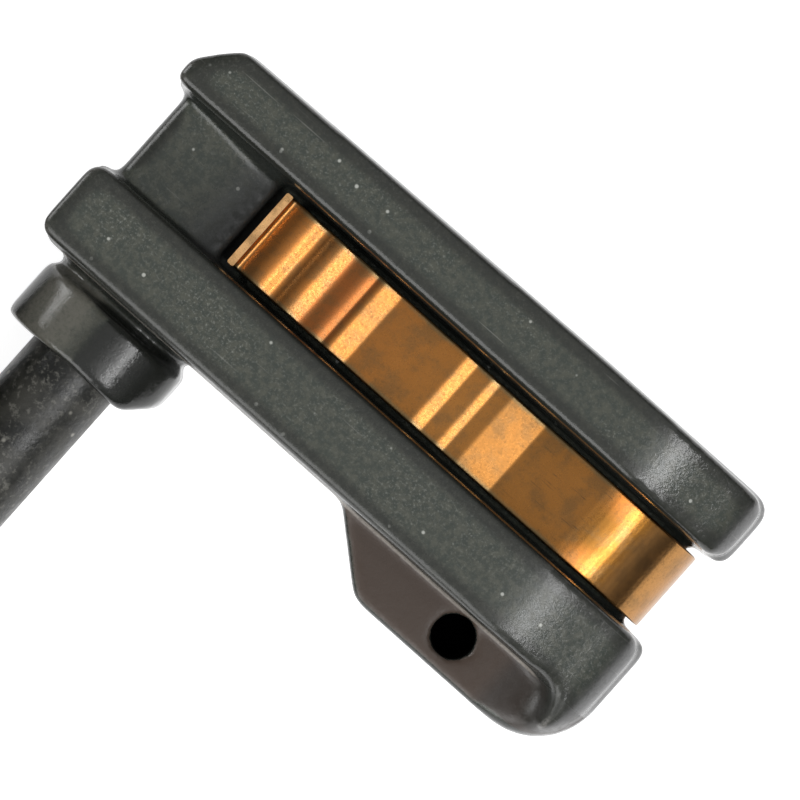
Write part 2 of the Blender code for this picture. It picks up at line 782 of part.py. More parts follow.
def coil_tie():
    """A band tied round the bundle, with its head on the outside."""
    half = tie_width / 2
    band = prism("coil_tie", coil_section(seat_gap + tie_thickness), "Y", -half, half, tie_plastic)
    middle = (coil_low + coil_high) / 2
    head_x = coil_outer + seat_gap + tie_thickness / 2
    add(band, block("tie_head_guide", (head_x, head_x + tie_head[0]), (-tie_head[1] / 2, tie_head[1] / 2),
                    (middle - tie_head[2] / 2, middle + tie_head[2] / 2)))
    cut(band, prism("tie_band_cutter", coil_section(seat_gap), "Y", -tie_width, tie_width))
    pivot = bpy.data.objects.new("tie_place", None)
    bpy.context.collection.objects.link(pivot)
    pivot.location = (*coil_centre, 0)
    pivot.rotation_euler = (0, 0, tie_angle)
    for piece in [band] + [modifier.object for modifier in band.modifiers]:
        piece.parent = pivot


lead_run()
lead_coil()
lead_tail()
coil_tie()

# The plug lies along +Y. Its own places are given from the rear face of the housing.
housing_y = plug_y + boot_length
flange_y = housing_y + barrel_length
plug_front_y = flange_y + flange_length + plug_nose_length
barrel_bore = barrel_radius - barrel_wall
cavity_x = (plug_x - cavity_pitch / 2, plug_x + cavity_pitch / 2)


def plug_section(size, corner, grow=0.0):
    """A rounded rectangle about the plug's axis, as (x, z) points."""
    half_x = size[0] / 2 + grow
    half_z = size[1] / 2 + grow
    return rounded([
        (plug_x - half_x, plug_axis_height - half_z, corner),
        (plug_x + half_x, plug_axis_height - half_z, corner),
        (plug_x + half_x, plug_axis_height + half_z, corner),
        (plug_x - half_x, plug_axis_height + half_z, corner),
    ])


def about(middle, size):
    """The low and high value of a size that is centred on a middle."""
    return middle - size / 2, middle + size / 2


def plug_boot():
    """The rubber boot: a ringed taper over the lead, with a collar that goes into the barrel."""
    bore = lead_radius + seat_gap
    collar = barrel_bore - seat_gap
    front = boot_length - seat_gap
    taper = (boot_front_radius - boot_rear_radius) / boot_taper_length
    slope = (boot_ring_width - boot_ring_depth) / 2
    section = [(bore, 0), (boot_rear_radius, 0)]
    for k in range(boot_rings):
        start = (k + 0.5) * boot_ring_pitch
        for along, depth in ((0, 0), (slope, 1), (boot_ring_width - slope, 1), (boot_ring_width, 0)):
            radius = boot_rear_radius + taper * (start + along) - depth * boot_ring_depth
            section.append((radius, start + along))
    section += [(boot_front_radius, boot_taper_length), (boot_front_radius, front), (collar, front),
                (collar, boot_length + boot_collar), (bore, boot_length + boot_collar)]
    turned("plug_boot", section, 28, boot_rubber, (plug_x, plug_y, plug_axis_height), "Y", closed=True)


def plug_latch():
    """The springy arm on top: rooted at the front, with a ramped catch and a pad to press."""
    low = plug_axis_height + barrel_radius + seat_gap
    high = low + latch_thickness
    top = high + latch_catch
    root_z = plug_axis_height + nose_size[1] / 2 - overlap
    front = plug_front_y - latch_root
    rear = front - latch_length
    ramp = front - latch_catch_place
    pad = rear + latch_pad_length
    side = [(rear, low), (front - latch_root, low), (front - latch_root, root_z), (front, root_z), (front, high),
            (ramp, high), (ramp - latch_catch, top), (ramp - latch_catch - latch_catch_length, top),
            (ramp - latch_catch - latch_catch_length, high), (pad, high), (pad - latch_catch, top), (rear, top)]
    return soften(prism("latch_guide", side, "X", *about(plug_x, latch_width)), fine_edge, 1)


def plug_housing():
    """The sealed housing: a round barrel behind a flange, and a nose with a cavity for each terminal."""
    inside = flange_y + flange_length / 2
    rib_y = (flange_y + flange_length + seal_length + 2 * seat_gap, plug_front_y - 2 * latch_root)
    barrel = cylinder("plug_housing", barrel_radius, "Y", (plug_x, plug_axis_height), housing_y, inside, 36,
                      plug_plastic)
    plate = plug_section(flange_size, plug_corner)
    flange = prism("flange_guide", plate, "Y", flange_y, flange_y + flange_length)
    nose = prism("plug_nose_guide", plug_section(nose_size, plug_corner), "Y", inside, plug_front_y)
    add(barrel, soften(flange, fine_edge, 2), soften(nose, fine_edge, 2), plug_latch())
    for k, side in enumerate((-1, 1)):
        rib_x = plug_x + side * nose_size[0] / 2
        add(barrel, block(f"rib_guide_{k}", about(rib_x, 2 * rib_depth), rib_y,
                          about(plug_axis_height, rib_thickness)))
    cut(barrel, cylinder("barrel_bore_cutter", barrel_bore, "Y", (plug_x, plug_axis_height),
                         housing_y - cut_reach, housing_y + barrel_bore_depth, 36))
    for name, x in zip("ab", cavity_x):
        cut(barrel, block(f"cavity_{name}_cutter", about(x, cavity_size[0]),
                          (housing_y + barrel_bore_depth - ledge, plug_front_y + cut_reach),
                          about(plug_axis_height, cavity_size[1])))
    recess = plug_section(nose_size, plug_corner / 2, -lock_rim)
    cut(barrel, prism("lock_recess_cutter", recess, "Y", plug_front_y - lock_thickness - seat_gap,
                      plug_front_y + cut_reach))
    smooth(barrel)


def plug_lock():
    """The retainer pressed into the front of the nose, with a window for each terminal."""
    outline = plug_section(nose_size, plug_corner / 2, -lock_rim - seat_gap)
    plate = prism("plug_lock", outline, "Y", plug_front_y - lock_thickness, plug_front_y, lock_plastic)
    window = terminal_slot + 2 * fine_edge
    for name, x in zip("ab", cavity_x):
        cut(plate, block(f"lock_window_{name}_cutter", about(x, window),
                         (plug_front_y - cut_reach, plug_front_y + cut_reach), about(plug_axis_height, window)))
    soften(plate, fine_edge, 1)


def plug_seal():
    """The rubber ring round the nose, against the flange, with two lips."""
    low = flange_y + flange_length + seat_gap
    outer = seat_gap + seal_thickness
    lip_length = seal_length / 5
    body = plug_section(nose_size, plug_corner, outer)
    lip = plug_section(nose_size, plug_corner, outer + seal_lip_height)
    bore = plug_section(nose_size, plug_corner, seat_gap)
    ring = prism("plug_seal", body, "Y", low, low + seal_length, seal_rubber)
    for k in range(2):
        start = low + (2 * k + 1) * lip_length
        add(ring, prism(f"seal_lip_{k}_guide", lip, "Y", start, start + lip_length))
    cut(ring, prism("seal_bore_cutter", bore, "Y", low - cut_reach, low + seal_length + cut_reach))
    smooth(ring)


wire_seal_y = housing_y + boot_collar + seat_gap
terminal_y = housing_y + barrel_bore_depth + seat_gap


def plug_wire_seal():
    """The rubber block in the barrel that the cores are pushed through, with two ribs round it."""
    radius = barrel_bore - seat_gap
    waist = radius - seat_gap
    sixth = wire_seal_length / 6
    section = [(waist, 0)]
    for start in (0, 3 * sixth):
        section += [(radius, start + sixth), (radius, start + 2 * sixth), (waist, start + 3 * sixth)]
    seal = turned("plug_wire_seal", section, 32, seal_rubber, (plug_x, wire_seal_y, plug_axis_height), "Y")
    hole = core_diameter / 2 + seat_gap
    through = (wire_seal_y - cut_reach, wire_seal_y + wire_seal_length + cut_reach)
    for name, x in zip("ab", cavity_x):
        cut(seal, cylinder(f"wire_hole_{name}_cutter", hole, "Y", (x, plug_axis_height), *through, 16))


def plug_core(name, x, material):
    """A core from the end of the sheath, spread to its terminal's place and through the wire seal."""
    start = jacket_plug_y + seat_gap
    together = plug_x + math.copysign(core_spread / 2, x - plug_x)
    points = [(together, start, plug_axis_height), (together, start + core_diameter, plug_axis_height),
              (x, wire_seal_y - core_diameter, plug_axis_height), (x, terminal_y - seat_gap, plug_axis_height)]
    tube(name, points, core_diameter, core_diameter, material)


def plug_terminal(name, x):
    """A socket terminal: a square box open at the front, with a round crimp behind."""
    size = (cavity_size[0] - 2 * seat_gap, cavity_size[1] - 2 * seat_gap)
    box_y = terminal_y + terminal_crimp_length
    front_y = box_y + terminal_length
    box = block(name, about(x, size[0]), (box_y, front_y), about(plug_axis_height, size[1]), tinned_copper)
    soften(box, fine_edge, 1)
    add(box, cylinder(f"{name}_crimp_guide", terminal_crimp_diameter / 2, "Y", (x, plug_axis_height),
                      terminal_y, box_y + overlap, 16))
    cut(box, block(f"{name}_slot_cutter", about(x, terminal_slot), (box_y + overlap, front_y + cut_reach),
                   about(plug_axis_height, terminal_slot)))


plug_boot()
plug_housing()
plug_lock()
plug_seal()
plug_wire_seal()
plug_core("plug_core_a", cavity_x[0], white_insulation)
plug_core("plug_core_b", cavity_x[1], blue_insulation)
plug_terminal("plug_terminal_a", cavity_x[0])
plug_terminal("plug_terminal_b", cavity_x[1])
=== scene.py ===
import math

import bmesh
import bpy
import numpy as np
from mathutils import Euler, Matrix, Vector


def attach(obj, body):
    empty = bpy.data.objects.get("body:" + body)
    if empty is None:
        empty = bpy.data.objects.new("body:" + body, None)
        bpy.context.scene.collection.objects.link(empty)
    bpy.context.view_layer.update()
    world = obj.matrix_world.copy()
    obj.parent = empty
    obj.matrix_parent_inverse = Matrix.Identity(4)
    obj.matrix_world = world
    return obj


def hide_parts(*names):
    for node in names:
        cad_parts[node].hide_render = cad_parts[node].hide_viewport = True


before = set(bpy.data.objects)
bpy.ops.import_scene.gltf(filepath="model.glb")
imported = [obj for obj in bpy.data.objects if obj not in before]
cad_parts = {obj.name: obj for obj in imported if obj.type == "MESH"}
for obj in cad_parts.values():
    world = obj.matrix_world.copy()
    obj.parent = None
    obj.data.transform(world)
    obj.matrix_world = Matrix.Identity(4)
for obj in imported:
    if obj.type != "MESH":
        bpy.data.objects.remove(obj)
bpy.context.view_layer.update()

MM = 0.001

# Camera
# It looks straight down on the head from 200 mm above its rails, turned so that the head lies on the slant,
# tail at the upper left and nose at the lower right. The square frame is 34.8 mm wide at the rails' tops.
view_turn = math.radians(41.7)
view_target = Vector((0.65, 0.66, 10.0)) * MM
view_distance = 200 * MM
view_width = 34.78 * MM


def placed(name, data):
    """A new object in the scene that holds the data."""
    made = bpy.data.objects.new(name, data)
    bpy.context.collection.objects.link(made)
    return made


camera_data = bpy.data.cameras.new("camera")
camera_data.sensor_width = 36.0
camera_data.lens = camera_data.sensor_width * view_distance / view_width
camera_data.clip_start = 5 * MM
camera = placed("camera", camera_data)
camera.location = view_target + Vector((0, 0, view_distance))
camera.rotation_euler = (0, 0, view_turn)
bpy.context.scene.camera = camera


# Lead
# A two-core lead in a smooth extruded rubber sheath. It comes straight out of the boss, and the spare length
# is wound three and a half times round, two turns wide and two high, before it runs into the plug's boot.
lead_diameter = 4.6 * MM
lead_exit = Vector((-11.27, -8.09, 3.10)) * MM
lead_start_y = -5.69 * MM
lead_sides = 28
lead_spacing = 0.9 * MM
coil_centre = Vector((-36.57, -29.5, 0)) * MM
outer_turn = 25.3 * MM
inner_turn = 20.65 * MM
lower_turn = 3.1 * MM
upper_turn = 7.75 * MM
turns_wound = 3.5
# Each turn's track, as a radius and a height. Before a turn ends it passes to the next track: from so many
# degrees before the end, and over so many.
turn_tracks = ((outer_turn, lower_turn), (inner_turn, lower_turn), (inner_turn, upper_turn),
               (outer_turn, upper_turn))
track_changes = ((50, 50), (75, 60), (110, 60))
level_run = 8 * MM
plug_rear_y = -12.0 * MM
plug_height = 5.5 * MM
sheath_end_y = -7.0 * MM


def ease(share):
    """Goes smoothly from 0 to 1 as the share does."""
    share = min(max(share, 0.0), 1.0)
    return share * share * (3 - 2 * share)


def lead_route():
    """The lead's centreline: in along -Y, round clockwise in the coil, and out along +Y to the plug."""
    straight_steps, turn_steps, leaving_steps = 14, 40, 12
    inward = coil_centre.y - lead_start_y
    route = [Vector((lead_exit.x, lead_start_y + inward * k / straight_steps, lower_turn))
             for k in range(straight_steps)]
    for k in range(int(turns_wound * turn_steps) + 1):
        turn, done = divmod(k / turn_steps, 1.0)
        turn = int(turn)
        degrees = 360 * (1 - done)
        radius, height = turn_tracks[turn]
        if turn < len(track_changes):
            start, over = track_changes[turn]
            share = ease((start - degrees) / over)
            next_radius, next_height = turn_tracks[turn + 1]
            radius += (next_radius - radius) * share
            height += (next_height - height) * share
        angle = math.radians(degrees)
        route.append(coil_centre + Vector((radius * math.cos(angle), radius * math.sin(angle), height)))
    leave = route[-1]
    for k in range(1, leaving_steps + 1):
        y = leave.y + (sheath_end_y - leave.y) * k / leaving_steps
        share = (y - leave.y - level_run) / (plug_rear_y - leave.y - level_run)
        route.append(Vector((leave.x, y, upper_turn + (plug_height - upper_turn) * ease(share))))
    return route


def swept(name, route, diameter, sides):
    """A closed tube along a route, with a UV map that runs round it and along it in metres."""
    mesh = bpy.data.meshes.new(name)
    bm = bmesh.new()
    across = Vector((1, 0, 0))
    rings = []
    travelled = [0.0]
    for i, point in enumerate(route):
        along = (route[min(i + 1, len(route) - 1)] - route[max(i - 1, 0)]).normalized()
        across = (across - along * across.dot(along)).normalized()
        up = along.cross(across)
        rings.append([bm.verts.new(point + (across * math.cos(a) + up * math.sin(a)) * diameter / 2)
                      for a in [2 * math.pi * k / sides for k in range(sides)]])
        if i:
            travelled.append(travelled[-1] + (point - route[i - 1]).length)
    uv = bm.loops.layers.uv.new("along")
    for i in range(len(rings) - 1):
        for k in range(sides):
            j = (k + 1) % sides
            face = bm.faces.new((rings[i][k], rings[i][j], rings[i + 1][j], rings[i + 1][k]))
            face.smooth = True
            corners = ((k, i), (k + 1, i), (k + 1, i + 1), (k, i + 1))
            for loop, (side, ring) in zip(face.loops, corners):
                loop[uv].uv = (side / sides, travelled[ring])
    bm.faces.new(rings[0][::-1])
    bm.faces.new(rings[-1])
    bmesh.ops.recalc_face_normals(bm, faces=bm.faces)
    bm.to_mesh(mesh)
    bm.free()
    return placed(name, mesh)


def smooth_route(knots, spacing):
    """Points on a smooth curve through the knots, about one spacing apart."""
    knots = [2 * knots[0] - knots[1]] + knots + [2 * knots[-1] - knots[-2]]
    route = [knots[1]]
    for a, b, c, d in zip(knots, knots[1:], knots[2:], knots[3:]):
        steps = max(1, round((c - b).length / spacing))
        for k in range(1, steps + 1):
            t = k / steps
            route.append(0.5 * (2 * b + (c - a) * t + (2 * a - 5 * b + 4 * c - d) * t ** 2
                                + (3 * b - a - 3 * c + d) * t ** 3))
    return route


def feed(target, inputs):
    """Sets a node's inputs, by name or number, from sockets or plain values."""
    for key, value in inputs.items():
        if isinstance(value, bpy.types.NodeSocket):
            target.id_data.links.new(value, target.inputs[key])
        else:
            target.inputs[key].default_value = value


def node(tree, kind, inputs=None, **settings):
    """A new node with its attributes and its inputs set."""
    made = tree.nodes.new(kind)
    for key, value in settings.items():
        setattr(made, key, value)
    feed(made, inputs or {})
    return made


def material_with(name, roughness, metallic=0.0, specular=0.5):
    """A node material with plain settings on its shader; returns it and its shader."""
    material = bpy.data.materials.new(name)
    material.use_nodes = True
    shader = material.node_tree.nodes["Principled BSDF"]
    feed(shader, {"Roughness": roughness, "Metallic": metallic, "Specular IOR Level": specular})
    return material, shader


def reckoned(operation, first, *others):
    """The result of a maths node on a socket and more sockets or numbers."""
    values = dict(enumerate((first, *others)))
    return node(first.id_data, "ShaderNodeMath", values, operation=operation).outputs["Value"]


def product(first, *others):
    """A socket times more sockets or numbers."""
    result = first
    for value in others:
        result = reckoned("MULTIPLY", result, value)
    return result


def between(value, low, high, result=(0.0, 1.0)):
    """A smooth step of a value from one level to another."""
    levels = {"Value": value, "From Min": low, "From Max": high, "To Min": result[0], "To Max": result[1]}
    step = node(value.id_data, "ShaderNodeMapRange", levels, interpolation_type="SMOOTHSTEP")
    return step.outputs["Result"]


def blended(share, first, second):
    """Two colours, given as sockets or values, mixed by a share."""
    colours = {"Factor": share, "A": first, "B": second}
    return node(share.id_data, "ShaderNodeMix", colours, data_type="RGBA").outputs["Result"]


def noise(place, scale, detail, roughness=0.5):
    """Fractal noise over some coordinates."""
    texture = {"Vector": place, "Scale": scale, "Detail": detail, "Roughness": roughness}
    return node(place.id_data, "ShaderNodeTexNoise", texture).outputs["Fac"]


def object_place(tree):
    """The object coordinates."""
    return node(tree, "ShaderNodeTexCoord").outputs["Object"]


def axes(vector):
    """A vector's parts along X, Y and Z, by name or in that order."""
    return node(vector.id_data, "ShaderNodeSeparateXYZ", {"Vector": vector}).outputs


def shader_group(name, inputs, outputs):
    """A shader group with named inputs and outputs, a colour or a number each; returns its inputs too."""
    group = bpy.data.node_groups.new(name, "ShaderNodeTree")
    for label, value in inputs.items():
        kind = "NodeSocketColor" if isinstance(value, tuple) else "NodeSocketFloat"
        group.interface.new_socket(label, in_out="INPUT", socket_type=kind).default_value = value
    for label in outputs:
        kind = "NodeSocketColor" if label == "Colour" else "NodeSocketFloat"
        group.interface.new_socket(label, in_out="OUTPUT", socket_type=kind)
    return group, node(group, "NodeGroupInput").outputs


def mottle_group():
    """Moulded or extruded surfaces: soft cloudy tone, fine pitting, patches of fine scuffs, pale dust."""
    group, given = shader_group("Mottle", {
        "Cloud Scale": 300.0, "Grain Scale": 4000.0, "Dust Scale": 1400.0, "Dust Amount": 0.1,
        "Scuff Scale": 9000.0, "Scuff Amount": 0.3, "Dark Colour": (0.03, 0.03, 0.03, 1),
        "Light Colour": (0.06, 0.06, 0.06, 1), "Dust Colour": (0.4, 0.4, 0.4, 1)},
        ("Colour", "Cloud", "Height"))
    place = object_place(group)
    cloud = noise(place, given["Cloud Scale"], 5.0, 0.62)
    clouds = between(cloud, 0.36, 0.66)
    grain = noise(place, given["Grain Scale"], 3.0, 0.7)
    # Each speck of dust lies in a cell of its own, and few of the cells hold one.
    cells = node(group, "ShaderNodeTexVoronoi", {"Vector": place, "Scale": given["Dust Scale"]})
    lots = node(group, "ShaderNodeSeparateColor", {"Color": cells.outputs["Color"]})
    rare = reckoned("LESS_THAN", lots.outputs["Red"], given["Dust Amount"])
    dust = product(between(cells.outputs["Distance"], 0.26, 0.12), rare)
    flecks = between(noise(place, given["Scuff Scale"], 2.0, 0.8), 0.50, 0.74)
    patches = between(noise(place, 240.0, 4.0), 0.36, 0.70, (0.25, 1.0))
    scuffs = product(flecks, patches, given["Scuff Amount"])
    colour = blended(clouds, given["Dark Colour"], given["Light Colour"])
    for share in (scuffs, dust):
        colour = blended(share, colour, given["Dust Colour"])
    height = reckoned("MULTIPLY_ADD", cloud, 0.5, grain)
    node(group, "NodeGroupOutput", {"Colour": colour, "Cloud": clouds, "Height": height})
    return group


mottle = mottle_group()


def bumped(shader, height, strength, depth):
    """Gives a shader a shallow bump from a height."""
    relief = node(shader.id_data, "ShaderNodeBump", {
        "Strength": strength, "Distance": depth, "Height": height})
    feed(shader, {"Normal": relief.outputs["Normal"]})


def mottled(shader, settings, bump, depth, rough):
    """Puts the mottle group on a shader: its colours, a bump, and a roughness that follows the clouds."""
    surface = node(shader.id_data, "ShaderNodeGroup", settings, node_tree=mottle).outputs
    gloss = node(shader.id_data, "ShaderNodeMapRange", {
        "Value": surface["Cloud"], "To Min": rough[0], "To Max": rough[1]})
    feed(shader, {"Base Color": surface["Colour"], "Roughness": gloss.outputs["Result"]})
    bumped(shader, surface["Height"], bump, depth)
    return surface


sheath, sheath_shader = material_with("rubber_sheath", 0.5)
mottled(sheath_shader, {
    "Cloud Scale": 620.0, "Grain Scale": 3800.0, "Dust Scale": 1500.0, "Dust Amount": 0.06,
    "Scuff Scale": 3300.0, "Scuff Amount": 0.42,
    "Dark Colour": (0.012, 0.013, 0.011, 1), "Light Colour": (0.048, 0.047, 0.039, 1),
    "Dust Colour": (0.32, 0.31, 0.27, 1)}, 0.5, 0.06 * MM, (0.30, 0.50))

lead_path = smooth_route(lead_route(), lead_spacing)
lead = swept("lead", lead_path, lead_diameter, lead_sides)
lead.data.materials.append(sheath)
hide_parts("lead_run", "lead_coil", "lead_tail")
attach(lead, "root")


# Head
# One moulding in black glass-filled nylon: two rails with a channel between them, a tail floor, a nose that
# bends down, a flat ear with a blind hole, and the half-round boss over the lead. The mould was worn, so its
# edges came out soft. The ear's face is painted brown as a painted warm reflection.
head_voxel = 0.17 * MM
head_smoothing = 10
weld_distance = 0.002 * MM
near_ledge_y = -4.42 * MM
parting_height = 6.4 * MM
ear_hole = (9.38 * MM, -5.59 * MM)
ear_hole_radius = 1.02 * MM
ear_hole_rim = 0.12 * MM
ear_hole_floor = 0.5 * MM
# Round the hole, from and to which radius the surface goes from nearly sharp to soft.
crisp_hole = (ear_hole, 1.12 * MM, 1.5 * MM)
crisp_share = 0.12
# Along X, where the rails' tops begin to sink towards the nose, are lowest, and are themselves again.
nose_sink = (9.9 * MM, 13.6 * MM, 15.8 * MM)
nose_sink_depth = 0.28 * MM
# From which height above the parting line that takes hold, and over how much more.
nose_sink_hold = (0.2 * MM, 1.0 * MM)
# Where the moulding runs together softly: all of it a little, the wall above the ear at the nose, and the
# boss. Each is a centre, a reach and how many times the surface is evened out there.
whole_head = (Vector((0, 0, 0)), 1.0, head_smoothing)
soft_places = ((Vector((14.4, -6.0, 7.4)) * MM, 3.0 * MM, 70),
               (Vector((-11.3, -8.3, 5.2)) * MM, 3.2 * MM, 10))
# How far the surface's pride is evened out: narrowly for the worn edges, broadly for the rims of the flats.
pride_rounds = {"wear": 4, "rim": 26}


def rows(items, attribute, width=3, kind=float):
    """An attribute of every vertex, edge or face, one row each."""
    values = np.empty(len(items) * width, dtype=kind)
    items.foreach_get(attribute, values)
    return values.reshape(-1, width)


def neighbours(mesh):
    """The two ends of every edge, and how many edges meet at each vertex."""
    a, b = rows(mesh.edges, "vertices", 2, int).T
    count = len(mesh.vertices)
    return a, b, np.maximum(np.bincount(a, minlength=count) + np.bincount(b, minlength=count), 1)


def sink_nose(mesh):
    """Lets the rails' tops begin to fall a little earlier before the nose."""
    points = rows(mesh.vertices, "co")
    start, lowest, end = nose_sink
    ways = [np.clip((points[:, 0] - a) / (b - a), 0, 1) for a, b in ((start, lowest), (lowest, end))]
    rise, fall = (t * t * (3 - 2 * t) for t in ways)
    foot, rise_over = nose_sink_hold
    top = np.clip((points[:, 2] - parting_height - foot) / rise_over, 0, 1)
    points[:, 2] -= nose_sink_depth * rise * (1 - fall) * top
    mesh.vertices.foreach_set("co", points.reshape(-1))


def smooth_round(mesh, centre, reach, passes, crisp=None):
    """Lets the surface run together within reach of a point, less towards the rim and by a crisp hole."""
    count = len(mesh.vertices)
    points = rows(mesh.vertices, "co")
    # Fully within a third of the reach, and less and less beyond it.
    share = np.clip(1.5 - 1.5 * np.linalg.norm(points - np.array(centre), axis=1) / reach, 0, 1)[:, None]
    if crisp:
        hole, inner, outer = crisp
        aside = np.linalg.norm(points[:, :2] - np.array(hole), axis=1)[:, None]
        share *= crisp_share + (1 - crisp_share) * np.clip((aside - inner) / (outer - inner), 0, 1)
    a, b, near = neighbours(mesh)
    for _ in range(passes):
        total = np.stack([np.bincount(a, points[b, k], count) + np.bincount(b, points[a, k], count)
                          for k in range(3)], axis=1)
        points += 0.5 * share * (total / near[:, None] - points)
    mesh.vertices.foreach_set("co", points.reshape(-1))
    mesh.update()


def pride(mesh, rounds):
    """How sharply the surface curves outwards at each vertex, in 1 per mm, evened out over some rounds."""
    count = len(mesh.vertices)
    points = rows(mesh.vertices, "co") / MM
    normals = rows(mesh.vertex_normals, "vector")
    a, b, near = neighbours(mesh)
    step = points[b] - points[a]
    square = np.maximum((step ** 2).sum(1), 1e-9)
    curve = (np.bincount(a, -2 * (step * normals[a]).sum(1) / square, count)
             + np.bincount(b, 2 * (step * normals[b]).sum(1) / square, count)) / near
    for _ in range(rounds):
        around = (np.bincount(a, curve[b], count) + np.bincount(b, curve[a], count)) / near
        curve = 0.5 * curve + 0.5 * around
    return curve


def welded(node_name, name, flat_angle=None):
    """A start for a piece: a solid with its corners joined and, given an angle, its flats made whole."""
    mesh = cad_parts[node_name].data.copy()
    mesh.materials.clear()
    bm = bmesh.new()
    bm.from_mesh(mesh)
    bmesh.ops.remove_doubles(bm, verts=bm.verts, dist=weld_distance)
    if flat_angle:
        bmesh.ops.dissolve_limit(bm, angle_limit=flat_angle, verts=bm.verts, edges=bm.edges)
    bm.to_mesh(mesh)
    bm.free()
    return placed(name + "_start", mesh)


def settled(start, name):
    """The plain mesh that a start's modifiers make, with the piece's name; the start itself goes."""
    made = bpy.data.meshes.new_from_object(start.evaluated_get(bpy.context.evaluated_depsgraph_get()))
    bpy.data.objects.remove(start)
    made.name = name
    return made


def head_mesh():
    """The moulding with an even, fine skin and soft edges; how proud each point stands is kept on it."""
    start = welded("head_moulding", "head")
    even = start.modifiers.new("even", "REMESH")
    even.mode = "VOXEL"
    even.voxel_size = head_voxel
    even.use_smooth_shade = True
    mesh = settled(start, "head")
    sink_nose(mesh)
    smooth_round(mesh, *whole_head, crisp_hole)
    for place in soft_places:
        smooth_round(mesh, *place)
    for attribute, rounds in pride_rounds.items():
        proud = mesh.attributes.new(attribute, "FLOAT", "POINT")
        proud.data.foreach_set("value", pride(mesh, rounds).astype(np.float32))
    return mesh


nylon, nylon_shader = material_with("black_nylon", 0.3)
nylon_tree = nylon_shader.id_data
nylon_surface = mottled(nylon_shader, {
    "Cloud Scale": 2600.0, "Grain Scale": 6000.0, "Dust Scale": 2300.0, "Dust Amount": 0.07,
    "Scuff Scale": 7500.0, "Scuff Amount": 0.34,
    "Dark Colour": (0.042, 0.050, 0.041, 1), "Light Colour": (0.071, 0.075, 0.058, 1),
    "Dust Colour": (0.42, 0.43, 0.39, 1)}, 0.55, 0.02 * MM, (0.22, 0.32))
nylon_height = nylon_surface["Height"]
nylon_place = object_place(nylon_tree)
nylon_x, nylon_y, nylon_z = axes(nylon_place)
nylon_facing = axes(node(nylon_tree, "ShaderNodeNewGeometry").outputs["Normal"])
nylon_wear, nylon_rim = (node(nylon_tree, "ShaderNodeAttribute", attribute_name=name).outputs["Fac"]
                         for name in pride_rounds)
# Painted shade: the steep flanks and rounded edges are painted darker than the flats.
flank_painted_shade = between(nylon_facing["Z"], 0.94, 0.62, (0.0, 0.9))
nylon_colour = blended(flank_painted_shade, nylon_surface["Colour"], (0.017, 0.019, 0.017, 1))
# Painted shade: a darker band is painted along the rounded edges above the parting line.
edge_painted_shade = product(between(nylon_rim, 0.08, 0.42),
                    between(nylon_z, parting_height + 0.5 * MM, parting_height + 1.0 * MM),
                    between(nylon_height, 0.2, 1.1, (0.95, 0.7)))
nylon_colour = blended(edge_painted_shade, nylon_colour, (0.022, 0.023, 0.019, 1))
# A painted highlight: the nose's end wall is painted pale grey where it faces forward. A few hairline
# scratches cross the flats.
nose_wall_highlight = product(between(nylon_facing["X"], 0.45, 0.9),
                   between(nylon_x, 14.2 * MM, 15.2 * MM),
                   between(nylon_height, 0.3, 1.0, (0.4, 0.9)))
nylon_colour = blended(nose_wall_highlight, nylon_colour, (0.15, 0.15, 0.15, 1))
for angle, offset in ((0.6, 0.0), (-0.95, 7.0)):
    drawn_out = node(nylon_tree, "ShaderNodeMapping", {
        "Vector": nylon_place, "Location": (offset, 0, 0), "Rotation": (0, 0, angle),
        "Scale": (180, 7000, 180)})
    hairline = between(noise(drawn_out.outputs["Vector"], 1.0, 1.0), 0.74, 0.80, (0.0, 0.4))
    nylon_colour = blended(hairline, nylon_colour, (0.25, 0.25, 0.23, 1))
# The ear's face is painted brown as a painted warm reflection, and the sweep at its end darker brown as
# painted shade.
on_ear = product(between(nylon_y, near_ledge_y + 0.04 * MM, near_ledge_y - 0.06 * MM),
                 between(nylon_x, 0, 0.5 * MM),
                 between(nylon_z, parting_height - 0.15 * MM, parting_height - 0.06 * MM))
ear_warm_reflection = product(on_ear, between(nylon_z, parting_height + 0.4 * MM, parting_height + 0.1 * MM))
sweep_painted_shade = product(on_ear, between(nylon_x, 11.5 * MM, 12.5 * MM),
                    between(nylon_z, parting_height + 1.6 * MM, parting_height + 0.2 * MM), 0.8)
nylon_colour = blended(ear_warm_reflection, nylon_colour, (0.058, 0.039, 0.028, 1))
nylon_colour = blended(sweep_painted_shade, nylon_colour, (0.030, 0.025, 0.021, 1))
# Edges that stand proud are rubbed pale in places.
rubbed = product(between(nylon_wear, 1.1, 2.4), between(nylon_height, 0.45, 0.95), 0.55)
nylon_colour = blended(rubbed, nylon_colour, (0.20, 0.19, 0.175, 1))
# The mould's parting line is painted as a thin pale line along the foot of the near rail: partly scuffed
# flash, partly a painted highlight on its fine edge.
parting_scuff_and_highlight = product(between(nylon_y, near_ledge_y - 0.13 * MM, near_ledge_y - 0.05 * MM),
                       between(nylon_y, near_ledge_y + 0.09 * MM, near_ledge_y + 0.01 * MM),
                       between(nylon_x, -16.2 * MM, -15.2 * MM),
                       between(nylon_x, 14.0 * MM, 12.6 * MM),
                       between(nylon_z, parting_height - 0.4 * MM, parting_height - 0.2 * MM),
                       between(nylon_z, parting_height + 0.5 * MM, parting_height + 0.3 * MM),
                       between(nylon_height, 0.35, 0.95, (0.35, 1.0)))
nylon_colour = blended(parting_scuff_and_highlight, nylon_colour, (0.26, 0.235, 0.205, 1))
# Painted shade: the tail floor is painted darker beside the strip's end.
floor_painted_shade = product(between(nylon_x, -12.8 * MM, -9.8 * MM, (0.0, 0.9)),
                between(nylon_x, -8.4 * MM, -8.9 * MM),
                between(nylon_z, 8.6 * MM, 7.7 * MM),
                between(nylon_y, -0.5 * MM, -0.2 * MM),
                between(nylon_y, 4.5 * MM, 3.9 * MM))
nylon_colour = blended(floor_painted_shade, nylon_colour, (0.013, 0.014, 0.013, 1))
